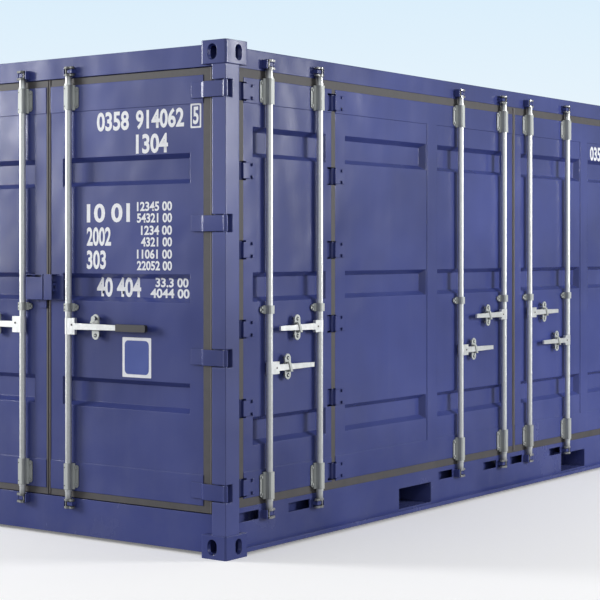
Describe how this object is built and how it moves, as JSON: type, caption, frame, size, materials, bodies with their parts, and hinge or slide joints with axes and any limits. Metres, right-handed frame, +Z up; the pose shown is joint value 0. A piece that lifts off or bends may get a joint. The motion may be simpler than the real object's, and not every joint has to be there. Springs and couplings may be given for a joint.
{
  "type": "open-side freight container",
  "caption": "Steel freight container with double doors at one end, folding doors along one side, lock rods, corner castings and fork pockets.",
  "frame": {"origin": "on the ground under the middle of the container", "axes": "+X along the length from the door end to the plain front end, -Y towards the folding side doors, +Z up"},
  "size_m": [6.058, 2.438, 2.591],
  "materials": {
    "paint": "satin blue paint",
    "galvanised": "galvanised steel",
    "rubber": "grey-brown rubber",
    "grip": "black plastic",
    "plywood": "sealed plywood"
  },
  "bodies": {
    "container": {"door_end_castings": "paint", "front_end_castings": "paint", "door_post_near": "paint", "door_post_far": "paint", "front_posts": "paint", "door_header": "paint", "door_sill": "paint", "front_rails": "paint", "top_rail_near": "paint", "top_rail_far": "paint", "bottom_rail_near": "paint", "bottom_rail_far": "paint", "fork_pockets": "paint", "cross_members": "paint", "floor_boards": "plywood", "side_wall": "paint", "front_wall": "paint", "roof_panel": "paint", "side_door_leaf_1": "paint", "side_door_leaf_2": "paint", "side_door_leaf_3": "paint", "side_door_leaf_4": "paint", "side_door_gasket": "rubber", "side_door_hinges": "paint", "side_lock_rods": "galvanised", "side_rod_bearings": "galvanised", "side_cam_keepers": "paint", "end_cam_keepers": "paint"},
    "near_door": {"end_door_leaf_near": "paint", "end_door_gasket_near": "rubber", "end_door_hinges_near": "paint", "end_rod_bearings_near": "galvanised", "lock_box_near": "paint"},
    "far_door": {"end_door_leaf_far": "paint", "end_door_gasket_far": "rubber", "end_door_hinges_far": "paint", "end_rod_bearings_far": "galvanised", "lock_box_far": "paint"},
    "near_lock_rod": {"end_lock_rod_near": "galvanised", "end_rod_cams_near": "galvanised", "end_handle_near": "galvanised", "end_grip_near": "grip"},
    "far_lock_rod": {"end_lock_rod_far": "galvanised", "end_rod_cams_far": "galvanised", "end_handle_far": "galvanised", "end_grip_far": "grip"}
  },
  "joints": [
    {"name": "near_door_swing", "type": "hinge", "parent": "container", "child": "near_door", "pos_m": [-3.013, -1.203, 1.34], "axis": [0, 0, 1], "range_deg": [0, 220]},
    {"name": "far_door_swing", "type": "hinge", "parent": "container", "child": "far_door", "pos_m": [-3.013, 1.203, 1.34], "axis": [0, 0, -1], "range_deg": [0, 220]},
    {"name": "near_rod_turn", "type": "hinge", "parent": "near_door", "child": "near_lock_rod", "pos_m": [-3.007, -0.123, 1.34], "axis": [0, 0, -1], "range_deg": [0, 90]},
    {"name": "far_rod_turn", "type": "hinge", "parent": "far_door", "child": "far_lock_rod", "pos_m": [-3.007, 0.223, 1.34], "axis": [0, 0, 1], "range_deg": [0, 90]}
  ]
}
